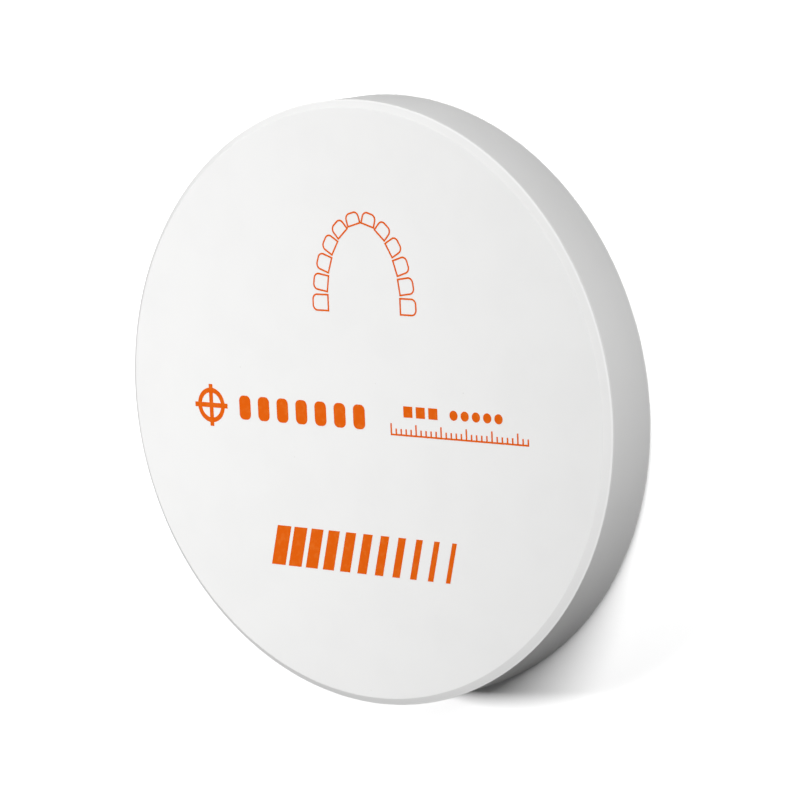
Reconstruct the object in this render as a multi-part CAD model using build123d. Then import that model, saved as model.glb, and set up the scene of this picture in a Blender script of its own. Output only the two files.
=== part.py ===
from build123d import *
from math import radians, tan
import os

# All sizes are in millimetres. The disc lies on its back face with the printed
# face up: X is the reading direction of the print, Y is its up direction and
# Z is the axis of the disc.

# Disc: the rim is the band that a machine's holder clamps.
DISC_DIAMETER = 98.0
RIM_HEIGHT = 10.0
BEVEL_HEIGHT = 1.0
BEVEL_WIDTH = 1.2
EDGE_RADIUS = 0.2

# Ink film on the printed face
INK_THICKNESS = 0.03
FINE_LINE = 0.28

# Row of tooth outlines along a horseshoe
ARCH_CENTRE = (2.1, 16.4)
ARCH_HALF_WIDTH = 8.9
ARCH_RISE = 13.9
ARCH_TEETH = 12
TOOTH_GAP = 0.45
FRONT_TOOTH_DEPTH = 2.1
BACK_TOOTH_DEPTH = 3.4
TOOTH_CORNER = 1.0

# Register mark: a ring with a cross through it
REGISTER_CENTRE = (-31.2, -1.8)
REGISTER_SPAN = 7.0
REGISTER_RING_RADIUS = 2.5
REGISTER_LINE = 0.8

# Row of bold tabs
TAB_ROW_CENTRE = (-11.9, -1.8)
TAB_COUNT = 7
TAB_PITCH = 4.0
TAB_WIDTH = 2.4
TAB_HEIGHT = 4.0
TAB_CORNER = 0.9

# Row of small squares and dots
SQUARE_DOT_Y = -0.4
SQUARE_COUNT = 3
SQUARE_SIZE = 1.8
SQUARE_PITCH = 2.5
SQUARE_ROW_X = 12.6
DOT_COUNT = 5
DOT_DIAMETER = 1.6
DOT_PITCH = 2.2
DOT_ROW_X = 23.6

# Rule with a tick every millimetre
RULE_CENTRE_X = 20.1
RULE_BASE_Y = -4.2
RULE_DIVISIONS = 27
RULE_PITCH = 1.0
SHORT_TICK = 1.0
LONG_TICK = 1.8
LONG_TICK_EVERY = 5

# Slanted bars, from wide to narrow
BAR_ROW_CENTRE = (0.1, -24.2)
BAR_COUNT = 11
BAR_PITCH = 3.5
BAR_HEIGHT = 6.6
WIDEST_BAR = 2.9
NARROWEST_BAR = 0.9
BAR_SLANT = 14.0

DISC_RADIUS = DISC_DIAMETER / 2
FACE_RADIUS = DISC_RADIUS - BEVEL_WIDTH
FRONT_EDGE_Z = BEVEL_HEIGHT + RIM_HEIGHT
DISC_THICKNESS = FRONT_EDGE_Z + BEVEL_HEIGHT


def row_offsets(count, pitch):
    """Places of a row's members along it, with the row's middle at zero."""
    return [(index - (count - 1) / 2) * pitch for index in range(count)]


def ink_film(shapes):
    """Thin pads of ink in the given flat shapes, lying on the printed face."""
    printed_face = Plane((0, 0, DISC_THICKNESS))
    pads = [extrude(printed_face * shape, INK_THICKNESS) for shape in shapes]
    return Compound([solid for pad in pads for solid in pad.solids()])


def disc():
    """The blank, turned in one piece: a rim between two bevels, edges slightly rounded."""
    outline = Polyline(
        (0, 0),
        (FACE_RADIUS, 0),
        (DISC_RADIUS, BEVEL_HEIGHT),
        (DISC_RADIUS, FRONT_EDGE_Z),
        (FACE_RADIUS, DISC_THICKNESS),
        (0, DISC_THICKNESS),
        close=True,
    )
    section = make_face(outline)
    rim_corners = section.vertices().filter_by(lambda corner: corner.X > 0)
    section = fillet(rim_corners, EDGE_RADIUS)
    return revolve(Plane.XZ * section, Axis.Z)


def tooth_outline(width, depth):
    """Outline of one tooth seen from above, rounded on the outer side of the arch."""
    crown = Rectangle(width, depth)
    outer_corners = crown.vertices().group_by(Axis.Y)[0]
    crown = fillet(outer_corners, TOOTH_CORNER)
    return crown - offset(crown, -FINE_LINE, kind=Kind.INTERSECTION)


def arch_print():
    """Twelve tooth outlines side by side along half an ellipse."""
    arch = EllipticalCenterArc(ARCH_CENTRE, ARCH_HALF_WIDTH, ARCH_RISE, arc_size=180)
    pitch = arch.length / (ARCH_TEETH - 1)
    teeth = []
    for index in range(ARCH_TEETH):
        along = index / (ARCH_TEETH - 1)
        backness = abs(2 * along - 1)
        depth = FRONT_TOOTH_DEPTH + (BACK_TOOTH_DEPTH - FRONT_TOOTH_DEPTH) * backness
        heading = arch.tangent_angle_at(along)
        place = Pos(arch.position_at(along)) * Rot(0, 0, heading)
        teeth.append(place * tooth_outline(pitch - TOOTH_GAP, depth))
    return ink_film(teeth)


def register_mark_print():
    """Ring with a cross through it."""
    ring = Circle(REGISTER_RING_RADIUS + REGISTER_LINE / 2)
    ring -= Circle(REGISTER_RING_RADIUS - REGISTER_LINE / 2)
    cross = Rectangle(REGISTER_SPAN, REGISTER_LINE) + Rectangle(REGISTER_LINE, REGISTER_SPAN)
    return ink_film([Pos(*REGISTER_CENTRE) * (ring + cross)])


def tab_row_print():
    """Bold upright tabs with rounded corners."""
    middle_x, middle_y = TAB_ROW_CENTRE
    tab = RectangleRounded(TAB_WIDTH, TAB_HEIGHT, TAB_CORNER)
    return ink_film([Pos(middle_x + x, middle_y) * tab for x in row_offsets(TAB_COUNT, TAB_PITCH)])


def square_dot_print():
    """Small squares, then small dots, in one row."""
    square = Rectangle(SQUARE_SIZE, SQUARE_SIZE)
    dot = Circle(DOT_DIAMETER / 2)
    squares = [Pos(SQUARE_ROW_X + x, SQUARE_DOT_Y) * square for x in row_offsets(SQUARE_COUNT, SQUARE_PITCH)]
    dots = [Pos(DOT_ROW_X + x, SQUARE_DOT_Y) * dot for x in row_offsets(DOT_COUNT, DOT_PITCH)]
    return ink_film(squares + dots)


def rule_print():
    """Base line with a tick at each division, every fifth one longer."""
    length = RULE_DIVISIONS * RULE_PITCH + FINE_LINE
    line = Pos(RULE_CENTRE_X, RULE_BASE_Y) * Rectangle(length, FINE_LINE)
    for index, x in enumerate(row_offsets(RULE_DIVISIONS + 1, RULE_PITCH)):
        height = SHORT_TICK if index % LONG_TICK_EVERY else LONG_TICK
        tick = Rectangle(FINE_LINE, height, align=(Align.CENTER, Align.MIN))
        line += Pos(RULE_CENTRE_X + x, RULE_BASE_Y) * tick
    return ink_film([line])


def slanted_bar(width):
    """Upright bar of the given width, leaning to the right at its top."""
    lean = BAR_HEIGHT * tan(radians(BAR_SLANT))
    low, high = -BAR_HEIGHT / 2, BAR_HEIGHT / 2
    left = -(width + lean) / 2
    corners = [(left, low), (left + width, low), (left + width + lean, high), (left + lean, high)]
    return Polygon(*corners, align=None)


def bar_row_print():
    """Bold slanted bars that get narrower along the row."""
    middle_x, middle_y = BAR_ROW_CENTRE
    step = (WIDEST_BAR - NARROWEST_BAR) / (BAR_COUNT - 1)
    bars = []
    for index, x in enumerate(row_offsets(BAR_COUNT, BAR_PITCH)):
        bars.append(Pos(middle_x + x, middle_y) * slanted_bar(WIDEST_BAR - index * step))
    return ink_film(bars)


NODES = {
    "disc": disc,
    "arch_print": arch_print,
    "register_mark_print": register_mark_print,
    "tab_row_print": tab_row_print,
    "square_dot_print": square_dot_print,
    "rule_print": rule_print,
    "bar_row_print": bar_row_print,
}

os.makedirs("parts", exist_ok=True)
for name, build_node in NODES.items():
    export_step(build_node(), f"parts/{name}.step")
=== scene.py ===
from math import cos, radians, sin

import bmesh
import bpy
from mathutils import Matrix, Vector


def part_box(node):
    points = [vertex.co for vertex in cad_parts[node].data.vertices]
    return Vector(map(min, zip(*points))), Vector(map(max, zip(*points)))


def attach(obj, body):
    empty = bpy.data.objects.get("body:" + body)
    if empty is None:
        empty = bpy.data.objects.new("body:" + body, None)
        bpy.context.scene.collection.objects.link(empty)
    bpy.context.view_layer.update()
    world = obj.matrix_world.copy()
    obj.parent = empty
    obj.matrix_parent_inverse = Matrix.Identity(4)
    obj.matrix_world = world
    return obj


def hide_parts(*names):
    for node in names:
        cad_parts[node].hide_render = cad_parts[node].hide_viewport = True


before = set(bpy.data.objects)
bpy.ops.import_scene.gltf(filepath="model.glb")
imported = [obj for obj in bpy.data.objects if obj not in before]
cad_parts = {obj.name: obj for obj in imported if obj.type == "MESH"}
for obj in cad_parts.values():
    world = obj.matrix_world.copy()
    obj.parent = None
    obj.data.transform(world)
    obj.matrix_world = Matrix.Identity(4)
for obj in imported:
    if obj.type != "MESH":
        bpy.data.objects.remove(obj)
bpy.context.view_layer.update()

# Everything is in metres. The disc lies on its back face on the floor, with
# its printed face up.

# The disc: its outer size comes from the frame, its edges are as in the CAD.
disc_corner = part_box("disc")[1]
DISC_RADIUS = disc_corner.x
DISC_THICKNESS = disc_corner.z
BEVEL_HEIGHT = 0.001
BEVEL_WIDTH = 0.0012
EDGE_RADIUS = 0.0002
FACE_RADIUS = DISC_RADIUS - BEVEL_WIDTH

# How finely the disc's skin is divided: round the axis, along each rounded
# corner, and at these shares of the way from the middle of a face to its edge.
TURNS = 384
CORNER_STEPS = 5
FACE_RING_SHARES = (0.2, 0.4, 0.6, 0.8, 0.93, 0.99)

# Camera: a long lens that looks down on the printed face. Its azimuth is
# counted from +X, and it is rolled so that +Y points up in the picture.
CAMERA_TARGET = Vector((0.00781, 0.00126, 0.011))
CAMERA_AZIMUTH = radians(13.67)
CAMERA_ELEVATION = radians(50.73)
CAMERA_ROLL = radians(-103.05)
CAMERA_DISTANCE = 0.5903
CAMERA_LENS_MM = 167.1

WHITE = (1, 1, 1, 1)

# Floor: it lies a hair under the disc. Its glow grows with the distance from
# the disc, so that it is white as far as it is seen. The bounce colour is the
# one that it has for the light it sends back to the object.
FLOOR_HALF_SIZE = 1.5
FLOOR_DROP = 0.00002
FLOOR_COLOUR = (0.92, 0.92, 0.92, 1)
FLOOR_BOUNCE_COLOUR = (0.035, 0.035, 0.035, 1)
FLOOR_GLOW_NEAR = 0.058
FLOOR_GLOW_FAR = 1
GLOW_GROWS_FROM = 0.2
GLOW_GROWS_TO = 0.5

# Faint light from all round, and how far a lamp stands from the middle of the
# disc's back unless its own line says otherwise.
WORLD_STRENGTH = 0.006
LAMP_DISTANCE = 0.6

# Zirconia: a white chalk with faint clouds, rare pale grey specks, a powdery
# grain and the fine rings that turning leaves, and a painted highlight: a paler
# line along the edges between rim and bevels.
ZIRCONIA_COLOUR = (0.865, 0.865, 0.86, 1)
ZIRCONIA_SHADE = (0.852, 0.852, 0.847, 1)
# Colour of the painted highlight along the edges between rim and bevels
ZIRCONIA_PAINTED_HIGHLIGHT = (0.92, 0.92, 0.915, 1)
ZIRCONIA_ROUGHNESS = 0.9
ZIRCONIA_SPECULAR = 0.02
# Width of that painted highlight
PAINTED_HIGHLIGHT_WIDTH = 0.00045
SPECK_COLOUR = (0.76, 0.755, 0.74, 1)
CLOUD_SIZE = 0.009
CLOUD_DETAIL = 3
CLOUD_FROM = 0.35
CLOUD_TO = 0.7
SPECK_SPACING = 0.0035
SPECK_RADIUS = 0.00016
SPECK_SHARE = 0.16
GRAIN_SIZE = 0.00016
GRAIN_DETAIL = 4
GRAIN_HEIGHT = 0.000004
RING_SPACING = 0.00024
RING_DETAIL = 1
RING_HEIGHT = 0.0000015

# Painted edge highlights and specks are full over this share of their width, and fade from there.
FULL_SHARE = 0.4

# Ink: opaque orange, a little thinner here and there.
INK_COLOUR = (0.745, 0.116, 0.004, 1)
THIN_INK_COLOUR = (0.765, 0.15, 0.014, 1)
INK_ROUGHNESS = 0.85
INK_SPECULAR = 0.03
BLOT_SIZE = 0.0009
BLOT_DETAIL = 4
BLOT_FROM = 0.45
BLOT_TO = 0.75

# Places of the sockets of a Mix node that mixes colours
MIX_SHARE_SOCKET = 0
MIX_COLOUR_SOCKETS = (6, 7)
MIX_RESULT_SOCKET = 2


def direction(azimuth, elevation):
    """Unit vector towards a place round the object, azimuth from +X."""
    turn = Matrix.Rotation(azimuth, 3, "Z") @ Matrix.Rotation(-elevation, 3, "Y")
    return turn @ Vector((1, 0, 0))


def add_camera():
    """The photograph's view of the disc."""
    camera = bpy.data.objects.new("camera", bpy.data.cameras.new("camera"))
    bpy.context.scene.collection.objects.link(camera)
    towards_camera = direction(CAMERA_AZIMUTH, CAMERA_ELEVATION)
    aim = (-towards_camera).to_track_quat("-Z", "Y").to_matrix()
    turn = (aim @ Matrix.Rotation(CAMERA_ROLL, 3, "Z")).to_4x4()
    place = Matrix.Translation(CAMERA_TARGET + CAMERA_DISTANCE * towards_camera)
    camera.matrix_world = place @ turn
    camera.data.lens = CAMERA_LENS_MM
    bpy.context.scene.camera = camera


def new_material(name, roughness, specular):
    """A node material, with its tree and its principled shader."""
    material = bpy.data.materials.new(name)
    material.use_nodes = True
    shader = material.node_tree.nodes["Principled BSDF"]
    shader.inputs["Roughness"].default_value = roughness
    shader.inputs["Specular IOR Level"].default_value = specular
    return material, material.node_tree, shader


def place_on_object(tree):
    """Coordinates fixed to the object, in metres."""
    return tree.nodes.new("ShaderNodeTexCoord").outputs["Object"]


def noise(tree, vector, size, detail):
    """Cloudy noise with features of about the given size, from 0 to 1."""
    node = tree.nodes.new("ShaderNodeTexNoise")
    node.inputs["Scale"].default_value = 1 / size
    node.inputs["Detail"].default_value = detail
    tree.links.new(vector, node.inputs["Vector"])
    return node.outputs["Fac"]


def calculate(tree, operation, first, second=0):
    """One arithmetic step; each side is a socket or a number."""
    node = tree.nodes.new("ShaderNodeMath")
    node.operation = operation
    for slot, value in enumerate((first, second)):
        if isinstance(value, bpy.types.NodeSocket):
            tree.links.new(value, node.inputs[slot])
        else:
            node.inputs[slot].default_value = value
    return node.outputs["Value"]


def ramp(tree, value, low, high, start=0, end=1):
    """From the start to the end while the value goes from low to high, smooth at both ends."""
    node = tree.nodes.new("ShaderNodeMapRange")
    node.interpolation_type = "SMOOTHSTEP"
    node.inputs["From Min"].default_value = low
    node.inputs["From Max"].default_value = high
    node.inputs["To Min"].default_value = start
    node.inputs["To Max"].default_value = end
    tree.links.new(value, node.inputs["Value"])
    return node.outputs["Result"]


def mix_colours(tree, share, first, second):
    """The first colour, turning into the second as the share grows."""
    node = tree.nodes.new("ShaderNodeMix")
    node.data_type = "RGBA"
    tree.links.new(share, node.inputs[MIX_SHARE_SOCKET])
    for socket, colour in zip(MIX_COLOUR_SOCKETS, (first, second)):
        if isinstance(colour, bpy.types.NodeSocket):
            tree.links.new(colour, node.inputs[socket])
        else:
            node.inputs[socket].default_value = colour
    return node.outputs[MIX_RESULT_SOCKET]


def bump(tree, height, depth, under=None):
    """Surface relief of the given depth, laid over another relief if there is one."""
    node = tree.nodes.new("ShaderNodeBump")
    node.inputs["Strength"].default_value = 1
    node.inputs["Distance"].default_value = depth
    tree.links.new(height, node.inputs["Height"])
    if under is not None:
        tree.links.new(under, node.inputs["Normal"])
    return node.outputs["Normal"]


def specks(tree, vector):
    """Rare small round specks: 1 on a speck, 0 elsewhere."""
    cells = tree.nodes.new("ShaderNodeTexVoronoi")
    cells.inputs["Scale"].default_value = 1 / SPECK_SPACING
    tree.links.new(vector, cells.inputs["Vector"])
    radius = SPECK_RADIUS / SPECK_SPACING
    near = ramp(tree, cells.outputs["Distance"], radius, FULL_SHARE * radius)
    pick = tree.nodes.new("ShaderNodeSeparateColor")
    tree.links.new(cells.outputs["Color"], pick.inputs["Color"])
    chosen = calculate(tree, "LESS_THAN", pick.outputs["Red"], SPECK_SHARE)
    return calculate(tree, "MULTIPLY", near, chosen)


def length(tree, first, second):
    """Length of the diagonal between two sides."""
    squares = [calculate(tree, "MULTIPLY", side, side) for side in (first, second)]
    return calculate(tree, "SQRT", calculate(tree, "ADD", *squares))


def radius_and_height(tree, vector):
    """Distance from the disc's axis, and height over the floor."""
    split = tree.nodes.new("ShaderNodeSeparateXYZ")
    tree.links.new(vector, split.inputs["Vector"])
    return length(tree, split.outputs["X"], split.outputs["Y"]), split.outputs["Z"]


def painted_highlight_mask(tree, radius, height):
    """Mask of the painted highlight: 1 on the two edges between rim and bevels, fading to 0 a
    little way off.
    """
    from_middle = calculate(tree, "SUBTRACT", height, DISC_THICKNESS / 2)
    rim_half = DISC_THICKNESS / 2 - BEVEL_HEIGHT
    above = calculate(tree, "SUBTRACT", calculate(tree, "ABSOLUTE", from_middle), rim_half)
    outward = calculate(tree, "SUBTRACT", radius, DISC_RADIUS)
    distance = length(tree, above, outward)
    return ramp(tree, distance, PAINTED_HIGHLIGHT_WIDTH, FULL_SHARE * PAINTED_HIGHLIGHT_WIDTH)


def turning_rings(tree, radius, height):
    """Fine uneven rings round the disc's axis, on its faces, bevels and rim."""
    along_profile = calculate(tree, "ADD", radius, height)
    rings = tree.nodes.new("ShaderNodeTexNoise")
    rings.noise_dimensions = "1D"
    rings.inputs["Scale"].default_value = 1 / RING_SPACING
    rings.inputs["Detail"].default_value = RING_DETAIL
    tree.links.new(along_profile, rings.inputs["W"])
    return rings.outputs["Fac"]


def grain(tree, place, under=None):
    """Powdery relief, laid over another relief if there is one."""
    return bump(tree, noise(tree, place, GRAIN_SIZE, GRAIN_DETAIL), GRAIN_HEIGHT, under)


def zirconia_material():
    """Chalky pre-sintered zirconia."""
    material, tree, shader = new_material("zirconia", ZIRCONIA_ROUGHNESS, ZIRCONIA_SPECULAR)
    place = place_on_object(tree)
    radius, height = radius_and_height(tree, place)
    clouds = ramp(tree, noise(tree, place, CLOUD_SIZE, CLOUD_DETAIL), CLOUD_FROM, CLOUD_TO)
    chalk = mix_colours(tree, clouds, ZIRCONIA_COLOUR, ZIRCONIA_SHADE)
    # Painted highlight: a paler line along both edges between rim and bevels
    with_painted_highlight = mix_colours(tree, painted_highlight_mask(tree, radius, height), chalk, ZIRCONIA_PAINTED_HIGHLIGHT)
    colour = mix_colours(tree, specks(tree, place), with_painted_highlight, SPECK_COLOUR)
    tree.links.new(colour, shader.inputs["Base Color"])
    rings = bump(tree, turning_rings(tree, radius, height), RING_HEIGHT)
    tree.links.new(grain(tree, place, under=rings), shader.inputs["Normal"])
    return material


def ink_material():
    """Matte orange ink on the powdery face."""
    material, tree, shader = new_material("orange_ink", INK_ROUGHNESS, INK_SPECULAR)
    place = place_on_object(tree)
    thin = ramp(tree, noise(tree, place, BLOT_SIZE, BLOT_DETAIL), BLOT_FROM, BLOT_TO)
    colour = mix_colours(tree, thin, INK_COLOUR, THIN_INK_COLOUR)
    tree.links.new(colour, shader.inputs["Base Color"])
    tree.links.new(grain(tree, place), shader.inputs["Normal"])
    return material


def is_seen(tree):
    """1 for what the camera sees, straight, mirrored or through glass, 0 for other light."""
    rays = tree.nodes.new("ShaderNodeLightPath").outputs
    seen = calculate(tree, "MAXIMUM", rays["Is Camera Ray"], rays["Is Glossy Ray"])
    return calculate(tree, "MAXIMUM", seen, rays["Is Transmission Ray"])


def floor_material():
    """A pale floor, brought up to white where it is seen, that sends little light back up."""
    material, tree, seen = new_material("floor", roughness=1, specular=0)
    seen.inputs["Base Color"].default_value = FLOOR_COLOUR
    seen.inputs["Emission Color"].default_value = WHITE
    distance = radius_and_height(tree, place_on_object(tree))[0]
    glow = ramp(tree, distance, GLOW_GROWS_FROM, GLOW_GROWS_TO, FLOOR_GLOW_NEAR, FLOOR_GLOW_FAR)
    tree.links.new(glow, seen.inputs["Emission Strength"])
    unseen = tree.nodes.new("ShaderNodeBsdfDiffuse")
    unseen.inputs["Color"].default_value = FLOOR_BOUNCE_COLOUR
    mixed = tree.nodes.new("ShaderNodeMixShader")
    share, at_zero, at_one = mixed.inputs
    tree.links.new(is_seen(tree), share)
    tree.links.new(unseen.outputs["BSDF"], at_zero)
    tree.links.new(seen.outputs["BSDF"], at_one)
    tree.links.new(mixed.outputs["Shader"], tree.nodes["Material Output"].inputs["Surface"])
    return material


def dress(node, material):
    """Gives a CAD node its material."""
    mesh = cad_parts[node].data
    mesh.materials.clear()
    mesh.materials.append(material)


def rounded_corner(before, corner, after, radius):
    """Points along the arc that rounds one corner of a flat outline."""
    back = (before - corner).normalized()
    ahead = (after - corner).normalized()
    half_angle = back.angle(ahead) / 2
    centre = corner + (back + ahead).normalized() * radius / sin(half_angle)
    reach = radius * cos(half_angle) / sin(half_angle)
    start = (corner + back * reach - centre).normalized()
    end = (corner + ahead * reach - centre).normalized()
    shares = [step / CORNER_STEPS for step in range(CORNER_STEPS + 1)]
    return [centre + radius * start.slerp(end, share) for share in shares]


def disc_profile():
    """Half section of the disc, from the middle of its back to the middle of its front."""
    corners = [
        Vector((0, 0)),
        Vector((FACE_RADIUS, 0)),
        Vector((DISC_RADIUS, BEVEL_HEIGHT)),
        Vector((DISC_RADIUS, DISC_THICKNESS - BEVEL_HEIGHT)),
        Vector((FACE_RADIUS, DISC_THICKNESS)),
        Vector((0, DISC_THICKNESS)),
    ]
    face_rings = [share * FACE_RADIUS for share in FACE_RING_SHARES]
    points = [Vector((radius, 0)) for radius in face_rings]
    for before, corner, after in zip(corners, corners[1:], corners[2:]):
        points += rounded_corner(before, corner, after, EDGE_RADIUS)
    points += [Vector((radius, DISC_THICKNESS)) for radius in reversed(face_rings)]
    return points


def turned_disc():
    """The blank, turned as one closed skin with finely divided rounds."""
    shape = bmesh.new()
    angles = [radians(360 * turn / TURNS) for turn in range(TURNS)]
    rings = []
    for radius, height in disc_profile():
        rings.append([shape.verts.new((radius * cos(a), radius * sin(a), height)) for a in angles])
    middles = [shape.verts.new((0, 0, height)) for height in (0, DISC_THICKNESS)]
    for turn in range(TURNS):
        following = (turn + 1) % TURNS
        for lower, upper in zip(rings, rings[1:]):
            shape.faces.new((lower[turn], lower[following], upper[following], upper[turn]))
        shape.faces.new((middles[0], rings[0][following], rings[0][turn]))
        shape.faces.new((middles[1], rings[-1][turn], rings[-1][following]))
    for face in shape.faces:
        face.smooth = True
    mesh = bpy.data.meshes.new("turned_disc")
    shape.to_mesh(mesh)
    shape.free()
    disc = bpy.data.objects.new("turned_disc", mesh)
    bpy.context.scene.collection.objects.link(disc)
    return disc


def add_floor():
    """A plain pale floor under the disc."""
    corners = [(-1, -1), (1, -1), (1, 1), (-1, 1)]
    mesh = bpy.data.meshes.new("floor")
    points = [(x * FLOOR_HALF_SIZE, y * FLOOR_HALF_SIZE, -FLOOR_DROP) for x, y in corners]
    mesh.from_pydata(points, [], [range(len(points))])
    floor = bpy.data.objects.new("floor", mesh)
    bpy.context.scene.collection.objects.link(floor)
    mesh.materials.append(floor_material())
    return floor


def light_group(name, things):
    """A group of things that a lamp can be limited to."""
    group = bpy.data.collections.new(name)
    for thing in things:
        group.objects.link(thing)
    return group


def add_area_light(name, lit, azimuth, elevation, size, power,
                   distance=LAMP_DISTANCE, aim=(0, 0, 0), spread=180):
    """A square soft light that lights one group, placed round the disc and turned to a point.

    The azimuth, the elevation and the spread of its beam are in degrees.
    """
    light = bpy.data.objects.new(name, bpy.data.lights.new(name, "AREA"))
    bpy.context.scene.collection.objects.link(light)
    light.location = direction(radians(azimuth), radians(elevation)) * distance
    light.rotation_mode = "QUATERNION"
    light.rotation_quaternion = (Vector(aim) - light.location).to_track_quat("-Z", "Y")
    light.data.size = size
    light.data.energy = power
    light.data.spread = radians(spread)
    light.light_linking.receiver_collection = lit


def add_world():
    """A white background with faint even light from all round."""
    world = bpy.data.worlds.new("world")
    world.use_nodes = True
    tree = world.node_tree
    background = tree.nodes["Background"]
    background.inputs["Color"].default_value = WHITE
    strength = calculate(tree, "MAXIMUM", is_seen(tree), WORLD_STRENGTH)
    tree.links.new(strength, background.inputs["Strength"])
    bpy.context.scene.world = world


zirconia = zirconia_material()
ink = ink_material()
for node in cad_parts:
    dress(node, zirconia if node == "disc" else ink)

disc = turned_disc()
disc.data.materials.append(zirconia)
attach(disc, "root")
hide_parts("disc")

add_camera()
floor = add_floor()

# Three soft lamps light the object. Two of them are aimed past its left side,
# so that their light fades towards the right. Two more light the floor alone,
# so that it is white but for the place that the disc hides from both.
on_object = light_group("lit_object", [disc, *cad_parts.values()])
on_floor = light_group("lit_floor", [floor])
past_left_side = (-0.11, -0.012, DISC_THICKNESS)
add_area_light("right_side", on_object, azimuth=21.3, elevation=32.5, size=0.2, power=0.216,
               aim=past_left_side, spread=42.5)
add_area_light("left_side", on_object, azimuth=223.9, elevation=59.7, size=0.2, power=0.65,
               aim=past_left_side, spread=94)
add_area_light("top_edge", on_object, azimuth=119.1, elevation=12.4, size=0.1, power=0.26,
               distance=0.25)
add_area_light("floor_top", on_floor, azimuth=48, elevation=25.8, size=0.466, power=9.47)
add_area_light("floor_left", on_floor, azimuth=185, elevation=22.8, size=0.117, power=9.03)
add_world()
bpy.context.scene.view_settings.view_transform = "Standard"
